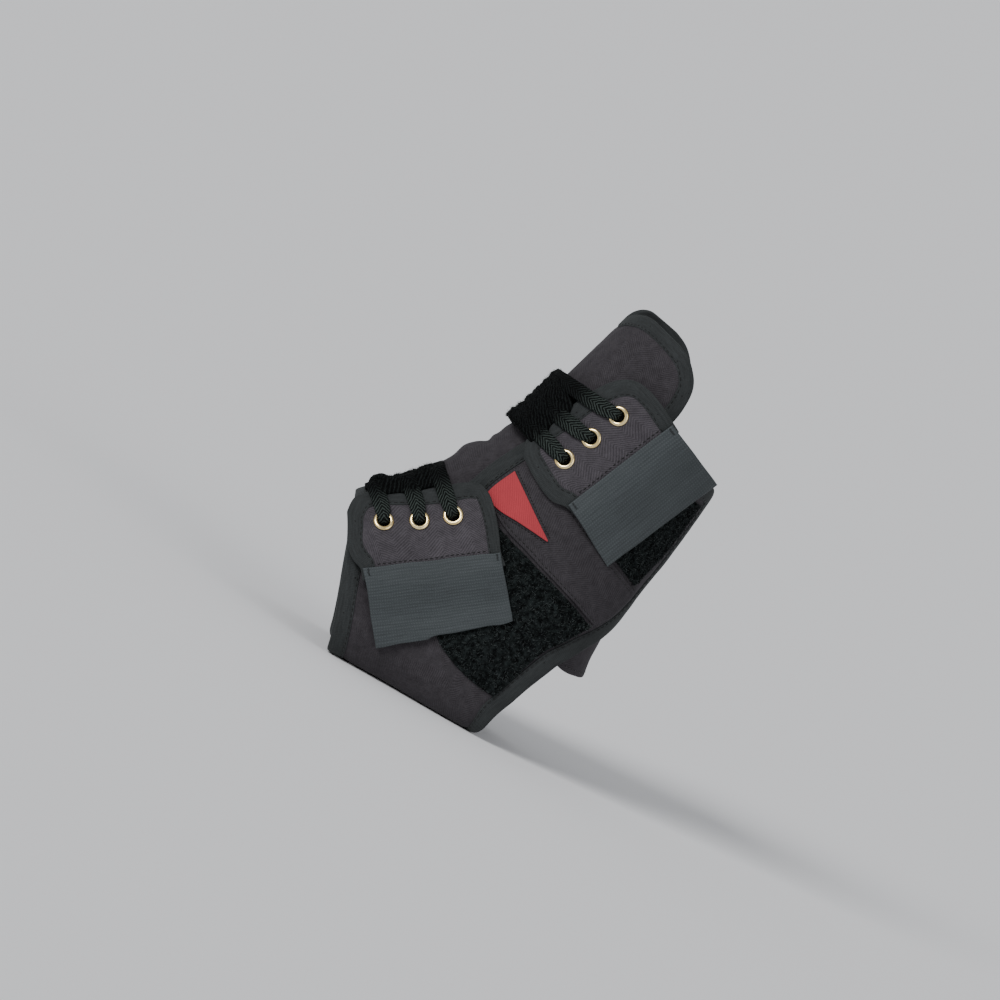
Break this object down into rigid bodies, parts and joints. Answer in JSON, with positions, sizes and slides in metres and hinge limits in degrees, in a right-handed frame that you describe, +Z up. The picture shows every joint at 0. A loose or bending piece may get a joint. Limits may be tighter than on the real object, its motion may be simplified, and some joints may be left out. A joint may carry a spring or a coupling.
{
  "type": "lace-up ankle brace",
  "caption": "Padded cloth ankle brace open at the toe, heel and top, with laced tabs, hook straps on loop pile and a bound edge all round.",
  "frame": {"origin": "middle of the flat underside of the sole, on the surface that the brace stands on", "axes": "+Z up along the leg, -X towards the toe, -Y towards the side with the hook straps, metres"},
  "size_m": [0.1457, 0.1013, 0.2099],
  "materials": {
    "twill": "padded herringbone twill, soft sheen",
    "tape": "folded binding tape, matt",
    "loop": "curly loop pile",
    "hook": "ribbed woven hook strap",
    "wedge": "plain red cloth, fine diagonal ribs",
    "brass": "polished",
    "lace": "fuzzy flat braid"
  },
  "bodies": {
    "root": {"tongue_binding": "tape", "tongue": "twill", "back_panel": "twill", "near_panel_binding": "tape", "near_panel": "twill", "far_panel_binding": "tape", "far_panel": "twill", "sole_front_binding": "tape", "sole_rear_binding": "tape", "sole_panel": "twill", "lower_loop_patch": "loop", "upper_loop_patch": "loop", "stay_cover": "twill", "wedge_patch": "wedge", "lower_tab_binding": "tape", "lower_tab": "twill", "lower_hook_strap": "hook", "lower_tab_eyelet_1": "brass", "lower_tab_eyelet_2": "brass", "lower_tab_eyelet_3": "brass", "lower_far_eyelet_1": "brass", "lower_far_eyelet_2": "brass", "lower_far_eyelet_3": "brass", "lower_lace": "lace", "upper_tab_binding": "tape", "upper_tab": "twill", "upper_hook_strap": "hook", "upper_tab_eyelet_1": "brass", "upper_tab_eyelet_2": "brass", "upper_tab_eyelet_3": "brass", "upper_far_eyelet_1": "brass", "upper_far_eyelet_2": "brass", "upper_far_eyelet_3": "brass", "upper_lace": "lace"}
  },
  "joints": []
}
